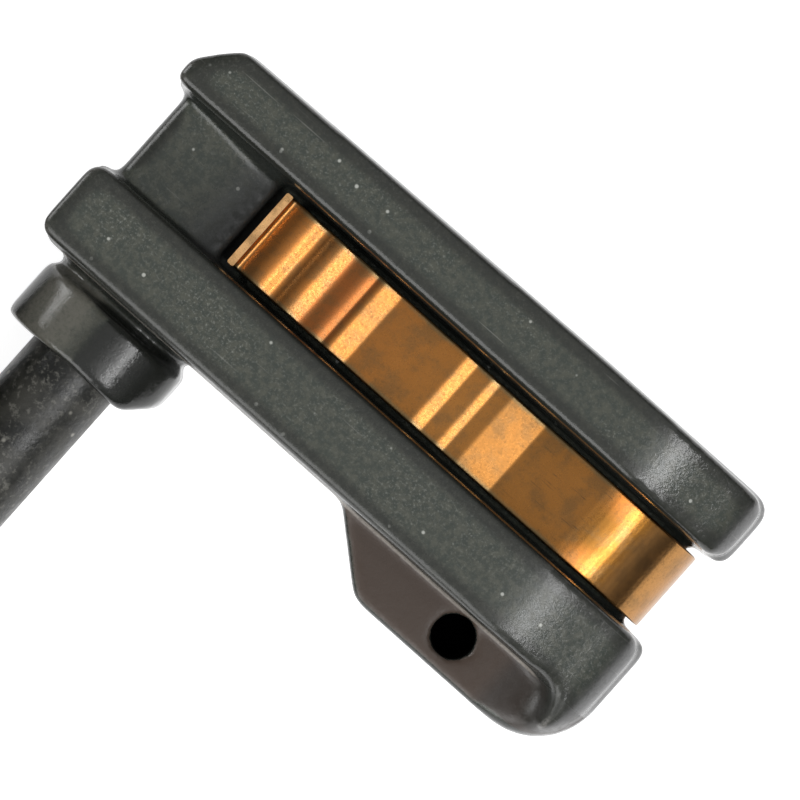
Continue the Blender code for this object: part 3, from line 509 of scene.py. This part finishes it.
# The boss is glossy. Its top and the side towards the nose are painted near-black as painted shade, and the
# side that faces the tail pale grey as a painted reflection.
boss_skin = product(between(nylon_y, near_ledge_y, near_ledge_y - 0.5 * MM),
                    between(nylon_x, -5 * MM, -6 * MM))
boss_painted_shade = product(boss_skin, between(nylon_facing["X"], -0.22, 0.05), 0.95)
boss_painted_reflection = product(boss_skin, between(nylon_facing["X"], -0.02, -0.25),
                    between(nylon_facing["X"], -0.86, -0.7),
                    between(nylon_height, 0.4, 0.9, (0.45, 1.0)))
nylon_colour = blended(boss_painted_shade, nylon_colour, (0.012, 0.013, 0.011, 1))
nylon_colour = blended(boss_painted_reflection, nylon_colour, (0.135, 0.131, 0.110, 1))
# The boss, the nose and the far rail are glossier than the rest, the shaded tail floor and the ear's face
# duller.
nylon_gloss = nylon_shader.inputs["Roughness"].links[0].from_socket
glossy_far = between(nylon_y, 3.5 * MM, 4.5 * MM, (1.0, 0.6))
glossy_boss = between(boss_skin, 0, 1, (1.0, 0.55))
dull_shaded_floor = between(floor_painted_shade, 0.3, 0.9, (1.0, 2.4))
dull_ear = between(on_ear, 0.2, 0.9, (1.0, 1.7))
glossy_nose = between(nylon_x, 9.5 * MM, 11.5 * MM, (1.0, 0.82))
feed(nylon_shader, {
    "Base Color": nylon_colour,
    "Roughness": product(nylon_gloss, glossy_far, glossy_boss, dull_shaded_floor, dull_ear, glossy_nose)})

# Painted shade: the inside of the ear's blind hole gets a near-black, unreflective finish for the shade in
# it.
packed_dirt, hole_shade_shader = material_with("packed_dirt", 0.95, specular=0.05)
mottled(hole_shade_shader, {
    "Cloud Scale": 2000.0, "Grain Scale": 9000.0, "Dust Amount": 0.0, "Scuff Amount": 0.02,
    "Dark Colour": (0.002, 0.002, 0.002, 1), "Light Colour": (0.006, 0.006, 0.005, 1)},
    0.3, 0.02 * MM, (0.9, 1.0))

head = placed("head", head_mesh())
head.data.materials.append(nylon)
head.data.materials.append(packed_dirt)
# The faces inside the ear's hole take the painted shade.
middles = rows(head.data.polygons, "center")
in_hole = ((np.linalg.norm(middles[:, :2] - np.array(ear_hole), axis=1) < ear_hole_radius)
           & (middles[:, 2] < parting_height - ear_hole_rim) & (middles[:, 2] > ear_hole_floor))
head.data.polygons.foreach_set("material_index", in_hole.astype(np.int32))
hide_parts("head_moulding")
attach(head, "root")


# Spring strip
# A leaf of rolled phosphor bronze, pressed in waves and steps, with its tail end turned up and its nose end
# wrapped down and hooked under the moulding. Rolling left fine streaks along it.
strip_across = 2.17 * MM
strip_width = 4.06 * MM
strip_thickness = 0.35 * MM
strip_edge = 0.07 * MM
# The middle line's corners, in mm: along the head, height and the radius of the bend there.
strip_corners = [
    (-8.94, 7.44, 0), (-8.98, 6.49, 0.45), (-7.55, 6.86, 1.3), (-6.6, 6.48, 0.8), (-5.93, 6.76, 0.9),
    (-4.95, 6.44, 1.0), (-4.11, 6.53, 1.2), (-3.62, 6.41, 0.3), (-3.32, 6.48, 0.3), (-2.3, 6.2, 0.6),
    (1.59, 6.2, 0.5), (2.21, 6.03, 0.45), (3.1, 6.01, 0.45), (3.54, 5.89, 0.45), (4.29, 5.89, 0.4),
    (6.28, 5.52, 0.4), (10.22, 5.74, 0)]
wrap_size = (5.05, 4.1)
wrap_steps = 24
hook_height = 0.87
hook_length = 2.4
hook_bend = 0.7


def strip_line():
    """The strip's middle line: its corners and their bends, the wrap as a quarter ellipse, and the hook."""
    line = list(strip_corners)
    centre_x, top, _ = line[-1]
    for k in range(1, wrap_steps + 1):
        a = math.pi / 2 * (1 - k / wrap_steps)
        line.append((centre_x + wrap_size[0] * math.cos(a), top - wrap_size[1] * (1 - math.sin(a)), 0))
    end_x = line[-1][0]
    line += [(end_x, hook_height, hook_bend), (end_x - hook_length, hook_height, 0)]
    mesh = bpy.data.meshes.new("strip_line")
    mesh.from_pydata([(x * MM, strip_across, z * MM) for x, z, _ in line],
                     [(k, k + 1) for k in range(len(line) - 1)], [])
    bends = mesh.attributes.new("bend", "FLOAT", "POINT")
    bends.data.foreach_set("value", [radius * MM for _, _, radius in line])
    return mesh


def shape_tree(name, inputs):
    """A geometry node tree with named inputs; returns it, what it is given and its output node."""
    tree = bpy.data.node_groups.new(name, "GeometryNodeTree")
    tree.interface.new_socket("Geometry", in_out="INPUT", socket_type="NodeSocketGeometry")
    for label, kind in inputs:
        tree.interface.new_socket(label, in_out="INPUT", socket_type="NodeSocket" + kind)
    tree.interface.new_socket("Geometry", in_out="OUTPUT", socket_type="NodeSocketGeometry")
    return tree, node(tree, "NodeGroupInput").outputs, node(tree, "NodeGroupOutput")


def grown(name, mesh, tree, values):
    """The plain mesh that a tree makes from a starting mesh with the given input values."""
    start = placed(name + "_start", mesh)
    modifier = start.modifiers.new("shape", "NODES")
    modifier.node_group = tree
    for socket in tree.interface.items_tree:
        if socket.in_out == "INPUT" and socket.name in values:
            modifier[socket.identifier] = values[socket.name]
    return placed(name, settled(start, name))


def strip_tree():
    """Sweeps a sheet's section along the bent line; its face wavers, and its sides sag at the wrap."""
    tree, given, result = shape_tree("pressed_strip", (
        ("Width", "Float"), ("Thickness", "Float"), ("Edge Radius", "Float"), ("Step", "Float"),
        ("Waver", "Float"), ("Waver Scale", "Float"), ("Crown", "Float"), ("Middle", "Float"),
        ("Wrap Start", "Float"), ("Finish", "Material")))
    line = node(tree, "GeometryNodeMeshToCurve", {"Mesh": given["Geometry"]})
    bend = node(tree, "GeometryNodeInputNamedAttribute", {"Name": "bend"}, data_type="FLOAT")
    bent = node(tree, "GeometryNodeFilletCurve", {
        "Curve": line.outputs["Curve"], "Count": 12, "Radius": bend.outputs["Attribute"],
        "Limit Radius": True}, mode="POLY")
    even = node(tree, "GeometryNodeResampleCurve", {
        "Curve": bent.outputs["Curve"], "Length": given["Step"]}, mode="LENGTH")
    upright = node(tree, "GeometryNodeSetCurveNormal", {
        "Curve": even.outputs["Curve"], "Normal": (0, 1, 0)}, mode="FREE")
    section = node(tree, "GeometryNodeCurvePrimitiveQuadrilateral", {
        "Width": given["Width"], "Height": given["Thickness"]}, mode="RECTANGLE")
    rounded = node(tree, "GeometryNodeFilletCurve", {
        "Curve": section.outputs["Curve"], "Count": 3, "Radius": given["Edge Radius"]}, mode="POLY")
    fine = node(tree, "GeometryNodeResampleCurve", {
        "Curve": rounded.outputs["Curve"], "Length": given["Step"]}, mode="LENGTH")
    sheet = node(tree, "GeometryNodeCurveToMesh", {
        "Curve": upright.outputs["Curve"], "Profile Curve": fine.outputs["Curve"], "Fill Caps": True})

    waver = node(tree, "ShaderNodeTexNoise", {"Scale": given["Waver Scale"], "Detail": 2.0})
    rise = product(reckoned("SUBTRACT", waver.outputs["Fac"], 0.5), given["Waver"])
    place = axes(node(tree, "GeometryNodeInputPosition").outputs["Position"])
    aside = reckoned("DIVIDE", reckoned("SUBTRACT", place["Y"], given["Middle"]), given["Width"])
    beyond = reckoned("SUBTRACT", place["X"], given["Wrap Start"])
    sag = product(aside, aside, between(beyond, -0.2 * MM, 1.5 * MM), between(beyond, 4.5 * MM, 2.0 * MM),
                  given["Crown"])
    offset = node(tree, "ShaderNodeCombineXYZ", {"Z": reckoned("SUBTRACT", rise, sag)})
    moved = node(tree, "GeometryNodeSetPosition", {
        "Geometry": sheet.outputs["Mesh"], "Offset": offset.outputs["Vector"]})
    smooth = node(tree, "GeometryNodeSetShadeSmooth", {"Geometry": moved.outputs["Geometry"]})
    real = node(tree, "GeometryNodeRealizeInstances", {"Geometry": smooth.outputs["Geometry"]})
    finished = node(tree, "GeometryNodeSetMaterial", {
        "Geometry": real.outputs["Geometry"], "Material": given["Finish"]})
    feed(result, {"Geometry": finished.outputs["Geometry"]})
    return tree


def streak_group():
    """Rolled sheet: long fine streaks along X, soft blotches of tarnish, fine grain, and their height."""
    group, given = shader_group("Rolled streaks", {
        "Streak Scale": 9000.0, "Streak Length": 0.06, "Blotch Scale": 900.0, "Grain Scale": 9000.0},
        ("Streaks", "Blotches", "Grain", "Height"))
    place = object_place(group)
    ratio = node(group, "ShaderNodeCombineXYZ", {"X": given["Streak Length"], "Y": 1.0, "Z": 0.06})
    drawn = node(group, "ShaderNodeVectorMath", {0: place, 1: ratio.outputs["Vector"]}, operation="MULTIPLY")
    streaks = noise(drawn.outputs["Vector"], given["Streak Scale"], 4.0, 0.65)
    blotches = noise(place, given["Blotch Scale"], 6.0, 0.6)
    grain = noise(place, given["Grain Scale"], 2.0, 0.75)
    height = reckoned("MULTIPLY_ADD", streaks, 0.06, grain)
    node(group, "NodeGroupOutput", {
        "Streaks": streaks, "Blotches": blotches, "Grain": grain, "Height": height})
    return group


rolled_streaks = streak_group()
bronze, bronze_shader = material_with("phosphor_bronze", 0.34, metallic=1.0)
bronze_tree = bronze_shader.id_data
bronze_surface = node(bronze_tree, "ShaderNodeGroup", node_tree=rolled_streaks).outputs
bronze_streaks = bronze_surface["Streaks"]
bronze_blotches = bronze_surface["Blotches"]
bronze_grain = bronze_surface["Grain"]
bronze_x, bronze_y, bronze_z = axes(object_place(bronze_tree))
from_middle = reckoned("ABSOLUTE", reckoned("SUBTRACT", bronze_y, strip_across))
# The clean metal is redder towards the tail, and reddest where the wave before the long flat is rubbed.
toward_nose = between(bronze_x, -6 * MM, 5 * MM)
bronze_colour = blended(toward_nose, (0.46, 0.182, 0.047, 1), (0.435, 0.190, 0.049, 1))
rubbed_red = product(between(bronze_x, -5.6 * MM, -5.0 * MM), between(bronze_x, -3.3 * MM, -3.6 * MM), 0.75)
bronze_colour = blended(rubbed_red, bronze_colour, (0.46, 0.15, 0.045, 1))
# The sides are dull. The bend at the nose is painted darker where the key light's highlight falls, to tone
# it down, and brighter orange is painted at the bend's two sides as painted highlights.
dull_side = product(between(from_middle, 1.70 * MM, 1.92 * MM),
                    between(bronze_blotches, 0.35, 0.6, (0.3, 0.9)))
bronze_colour = blended(dull_side, bronze_colour, (0.22, 0.19, 0.10, 1))
at_bend = between(bronze_x, 9.8 * MM, 11.2 * MM)
bronze_colour = blended(at_bend, bronze_colour, (0.29, 0.128, 0.026, 1))
past_bend = between(bronze_x, 12.5 * MM, 13.2 * MM)
bronze_colour = blended(past_bend, bronze_colour, (0.40, 0.20, 0.066, 1))
# Painted highlights: brighter orange at the bend's two sides.
side_painted_highlight = product(between(from_middle, 0.5 * MM, 1.7 * MM), between(bronze_x, 9.9 * MM, 11.2 * MM),
                    between(bronze_x, 12.1 * MM, 11.7 * MM), 0.8)
bronze_colour = blended(side_painted_highlight, bronze_colour, (0.62, 0.22, 0.05, 1))
# The sheared end is bright. Tarnish lies in blotches, grime in fine grains, and the slope before the bend is
# scratched.
sheared_end = between(bronze_z, 7.2 * MM, 7.35 * MM)
bronze_colour = blended(sheared_end, bronze_colour, (0.95, 0.55, 0.24, 1))
tarnish = between(bronze_blotches, 0.42, 0.66, (0.0, 0.6))
bronze_colour = blended(tarnish, bronze_colour, (0.24, 0.135, 0.055, 1))
grimed = product(between(bronze_grain, 0.52, 0.72), between(bronze_blotches, 0.40, 0.55, (0.35, 1.0)), 0.55)
bronze_colour = blended(grimed, bronze_colour, (0.20, 0.105, 0.040, 1))
scratched = product(between(bronze_streaks, 0.60, 0.70), between(bronze_x, 6.2 * MM, 7.5 * MM),
                    between(bronze_x, 11.5 * MM, 10.5 * MM), 0.7)
bronze_colour = blended(scratched, bronze_colour, (0.10, 0.07, 0.04, 1))
# The wrap at the nose is worn smoother than the rolled face.
bronze_gloss = node(bronze_tree, "ShaderNodeMix", {
    "Factor": at_bend, "A": between(bronze_grain, 0.3, 0.7, (0.26, 0.38)),
    "B": between(bronze_grain, 0.3, 0.7, (0.18, 0.26))}, data_type="FLOAT")
feed(bronze_shader, {"Base Color": bronze_colour, "Roughness": bronze_gloss.outputs["Result"]})
bumped(bronze_shader, bronze_surface["Height"], 0.30, 0.005 * MM)

strip = grown("strip", strip_line(), strip_tree(), {
    "Width": strip_width, "Thickness": strip_thickness, "Edge Radius": strip_edge, "Step": 0.08 * MM,
    "Waver": 0.03 * MM, "Waver Scale": 350.0, "Crown": 0.25 * MM, "Middle": strip_across,
    "Wrap Start": strip_corners[-1][0] * MM, "Finish": bronze})
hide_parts("spring_strip")
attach(strip, "root")


# Wires and resin in the head
# Two insulated cores, each crimped in a tinned sleeve to the thin sensing loop, lie in a groove in the back
# of the head. Dark epoxy, poured in and left to level, closes the groove with a glossy, sunken skin.
flat_angle = math.radians(1)
sharp_angle = math.radians(32)


def dressed(material, *node_names):
    """Gives CAD nodes that stay as they are their finish."""
    for name in node_names:
        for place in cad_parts[name].material_slots:
            place.material = material


def plain_surface(name, roughness, dark, light, bump, depth, rough, cloud=500.0, grain=5000.0, dust=0.03):
    """A moulded, extruded or poured finish from two tones of one colour."""
    material, shader = material_with(name, roughness)
    mottled(shader, {"Cloud Scale": cloud, "Grain Scale": grain, "Dust Scale": 1800.0, "Dust Amount": dust,
                     "Scuff Scale": 6000.0, "Scuff Amount": 0.08, "Dark Colour": (*dark, 1),
                     "Light Colour": (*light, 1), "Dust Colour": (0.42, 0.42, 0.40, 1)}, bump, depth, rough)
    return material


white_skin = plain_surface("white_insulation", 0.4, (0.62, 0.61, 0.57), (0.74, 0.73, 0.69), 0.15, 0.02 * MM,
                           (0.3, 0.45))
blue_skin = plain_surface("blue_insulation", 0.4, (0.03, 0.10, 0.34), (0.05, 0.14, 0.42), 0.15, 0.02 * MM,
                          (0.3, 0.45))
resin = plain_surface("potting_resin", 0.2, (0.016, 0.012, 0.010), (0.034, 0.026, 0.020), 0.3, 0.05 * MM,
                      (0.10, 0.26), cloud=300.0, grain=1200.0, dust=0.06)
dressed(white_skin, "core_a", "plug_core_a", "sensing_loop")
dressed(blue_skin, "core_b", "plug_core_b")

tin, tin_shader = material_with("tinned_copper", 0.3, metallic=1.0)
tin_surface = node(tin_shader.id_data, "ShaderNodeGroup", node_tree=rolled_streaks).outputs
tin_stained = between(tin_surface["Blotches"], 0.4, 0.7)
feed(tin_shader, {"Base Color": blended(tin_stained, (0.66, 0.65, 0.63, 1), (0.42, 0.40, 0.37, 1)),
                  "Roughness": between(tin_surface["Streaks"], 0.3, 0.7, (0.22, 0.42))})
dressed(tin, "splice_a", "splice_b", "plug_terminal_a", "plug_terminal_b")


def eased(node_name, name, material, radius):
    """A copy of a solid with its flat faces whole again and its edges rounded, in place of the solid."""
    start = welded(node_name, name, flat_angle)
    edge = start.modifiers.new("edge", "BEVEL")
    edge.width = radius
    edge.segments = 2
    edge.limit_method = "ANGLE"
    edge.angle_limit = sharp_angle
    edge.miter_outer = "MITER_ARC"
    mesh = settled(start, name)
    mesh.polygons.foreach_set("use_smooth", [True] * len(mesh.polygons))
    mesh.set_sharp_from_angle(angle=sharp_angle)
    mesh.materials.append(material)
    piece = placed(name, mesh)
    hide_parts(node_name)
    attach(piece, "root")


eased("potting_fill", "potting", resin, 0.12 * MM)


# Coil tie
# A natural nylon cable tie round the coil. It is a flat band with rounded edges, pulled tight and cut off at
# the small square head that grips it.
tie_nylon = plain_surface("natural_nylon", 0.4, (0.55, 0.54, 0.49), (0.68, 0.67, 0.62), 0.2, 0.03 * MM,
                          (0.28, 0.42))
eased("coil_tie", "tie", tie_nylon, 0.14 * MM)


# Plug
# A two-way sealed plug. Its ringed boot is soft black rubber, the housing and its latch are one moulding in
# dark grey nylon, the ring round the nose and the block behind it are silicone rubber, and a pale plate
# holds the terminals in.
boot_rubber = plain_surface("boot_rubber", 0.6, (0.018, 0.018, 0.019), (0.034, 0.034, 0.034), 0.35,
                            0.04 * MM, (0.5, 0.66), cloud=380.0, grain=4200.0, dust=0.08)
housing_nylon = plain_surface("grey_nylon", 0.42, (0.040, 0.041, 0.044), (0.058, 0.059, 0.062), 0.35,
                              0.025 * MM, (0.34, 0.46), cloud=700.0, grain=7000.0, dust=0.05)
silicone = plain_surface("orange_silicone", 0.45, (0.36, 0.060, 0.018), (0.46, 0.085, 0.026), 0.2,
                         0.03 * MM, (0.36, 0.5), cloud=450.0, grain=4500.0, dust=0.08)
lock_nylon = plain_surface("pale_nylon", 0.4, (0.50, 0.50, 0.48), (0.60, 0.60, 0.58), 0.2, 0.03 * MM,
                           (0.3, 0.44))
eased("plug_housing", "plug_body", housing_nylon, 0.13 * MM)
eased("plug_lock", "plug_retainer", lock_nylon, 0.1 * MM)
eased("plug_seal", "plug_ring", silicone, 0.1 * MM)
eased("plug_boot", "boot", boot_rubber, 0.12 * MM)
dressed(silicone, "plug_wire_seal")


# Studio
# A white light table, a narrow bright softbox with a broad dim one above it on the nose's side, a broad one
# on the lead's side, and a low one behind the tail. The room is bright overhead and dark around.
table_reach = 1500 * MM
table_drop = 0.05 * MM
light_distance = 900 * MM
floor_corners = [(x * table_reach, y * table_reach, -table_drop)
                 for x, y in ((-1, -1), (1, -1), (1, 1), (-1, 1))]
floor_mesh = bpy.data.meshes.new("floor")
floor_mesh.from_pydata(floor_corners, [], [(0, 1, 2, 3)])
floor = placed("floor", floor_mesh)
table, table_shader = material_with("light_table", 0.9, specular=0.1)
table_tree = table_shader.id_data
feed(table_shader, {"Base Color": (0.6, 0.6, 0.6, 1), "Emission Color": (1, 1, 1, 1),
                    "Emission Strength": 0.92})
# Seen from below, the table is clear, so that the underside shows.
one_sided = node(table_tree, "ShaderNodeMixShader", {
    "Fac": node(table_tree, "ShaderNodeNewGeometry").outputs["Backfacing"],
    1: table_shader.outputs["BSDF"], 2: node(table_tree, "ShaderNodeBsdfTransparent").outputs["BSDF"]})
feed(table_tree.nodes["Material Output"], {"Surface": one_sided.outputs["Shader"]})
floor_mesh.materials.append(table)


def softbox(name, azimuth, tilt, size, power):
    """An area light, its size in metres, that faces the head from an azimuth and a tilt off the vertical."""
    data = bpy.data.lights.new(name, "AREA")
    data.shape = "RECTANGLE"
    data.size, data.size_y = size
    data.energy = power
    lamp = placed(name, data)
    away = Vector((math.sin(math.radians(tilt)), 0, math.cos(math.radians(tilt))))
    away.rotate(Euler((0, 0, math.radians(azimuth))))
    lamp.location = away * light_distance
    lamp.rotation_euler = away.to_track_quat("Z", "Y").to_euler()


softbox("key", 0, 35.5, (0.5, 0.09), 1.66)
softbox("panel", 0, 26, (0.5, 0.28), 0.72)
softbox("fill", 262, 58, (0.8, 0.6), 4.5)
softbox("low", 183, 73, (0.45, 0.5), 3.5)
world = bpy.data.worlds.new("room")
world.use_nodes = True
room = world.node_tree
room_way = axes(node(room, "ShaderNodeTexCoord").outputs["Generated"])
walls = blended(between(room_way["X"], -0.5, 0.12), (0.20, 0.20, 0.21, 1), (0.64, 0.64, 0.65, 1))
walls = blended(between(room_way["Z"], 0.15, 0.85), (0.08, 0.08, 0.085, 1), walls)
walls = blended(between(room_way["Z"], -0.02, -0.06), walls, (0.95, 0.95, 0.95, 1))
feed(room.nodes["Background"], {"Color": walls})
bpy.context.scene.world = world
bpy.context.scene.view_settings.view_transform = "Standard"
